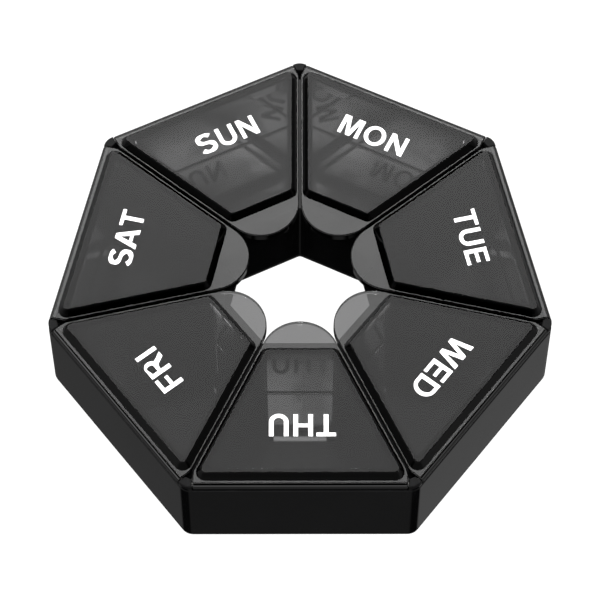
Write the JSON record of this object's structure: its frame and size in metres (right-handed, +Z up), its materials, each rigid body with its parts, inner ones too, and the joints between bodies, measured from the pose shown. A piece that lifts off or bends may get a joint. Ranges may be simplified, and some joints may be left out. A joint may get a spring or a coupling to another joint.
{
  "type": "weekly pill box",
  "caption": "Heptagonal ring tray of wedge-shaped bays with hinged smoky lids, each lifted by a round tab over the central finger hole; sorts a week's tablets by day.",
  "frame": {"origin": "on the axis of the box, level with the tray's foot", "axes": "+Z up along the axis of the box, -Y square to the front side (Thursday), +X to the right"},
  "size_m": [0.1178, 0.115, 0.0285],
  "materials": {
    "tray_black": "glossy moulded black plastic",
    "lid_smoke": "glossy smoke-tinted see-through plastic",
    "pin_steel": "drawn steel wire"
  },
  "bodies": {
    "tray_body": {"tray": "tray_black", "hinge_pin_thursday": "pin_steel", "hinge_pin_wednesday": "pin_steel", "hinge_pin_tuesday": "pin_steel", "hinge_pin_monday": "pin_steel", "hinge_pin_sunday": "pin_steel", "hinge_pin_saturday": "pin_steel", "hinge_pin_friday": "pin_steel"},
    "thursday_lid": {"lid_thursday": "lid_smoke"},
    "wednesday_lid": {"lid_wednesday": "lid_smoke"},
    "tuesday_lid": {"lid_tuesday": "lid_smoke"},
    "monday_lid": {"lid_monday": "lid_smoke"},
    "sunday_lid": {"lid_sunday": "lid_smoke"},
    "saturday_lid": {"lid_saturday": "lid_smoke"},
    "friday_lid": {"lid_friday": "lid_smoke"}
  },
  "joints": [
    {"name": "thursday_lid_hinge", "type": "hinge", "parent": "tray_body", "child": "thursday_lid", "pos_m": [0, -0.0529, 0.0256], "axis": [1, 0, 0], "range_deg": [0, 160]},
    {"name": "wednesday_lid_hinge", "type": "hinge", "parent": "tray_body", "child": "wednesday_lid", "pos_m": [0.04136, -0.03298, 0.0256], "axis": [0.6235, 0.7818, 0], "range_deg": [0, 160]},
    {"name": "tuesday_lid_hinge", "type": "hinge", "parent": "tray_body", "child": "tuesday_lid", "pos_m": [0.05157, 0.01177, 0.0256], "axis": [-0.2225, 0.9749, 0], "range_deg": [0, 160]},
    {"name": "monday_lid_hinge", "type": "hinge", "parent": "tray_body", "child": "monday_lid", "pos_m": [0.02295, 0.04766, 0.0256], "axis": [-0.901, 0.4339, 0], "range_deg": [0, 160]},
    {"name": "sunday_lid_hinge", "type": "hinge", "parent": "tray_body", "child": "sunday_lid", "pos_m": [-0.02295, 0.04766, 0.0256], "axis": [-0.901, -0.4339, 0], "range_deg": [0, 160]},
    {"name": "saturday_lid_hinge", "type": "hinge", "parent": "tray_body", "child": "saturday_lid", "pos_m": [-0.05157, 0.01177, 0.0256], "axis": [-0.2225, -0.9749, 0], "range_deg": [0, 160]},
    {"name": "friday_lid_hinge", "type": "hinge", "parent": "tray_body", "child": "friday_lid", "pos_m": [-0.04136, -0.03298, 0.0256], "axis": [0.6235, -0.7818, 0], "range_deg": [0, 160]}
  ]
}
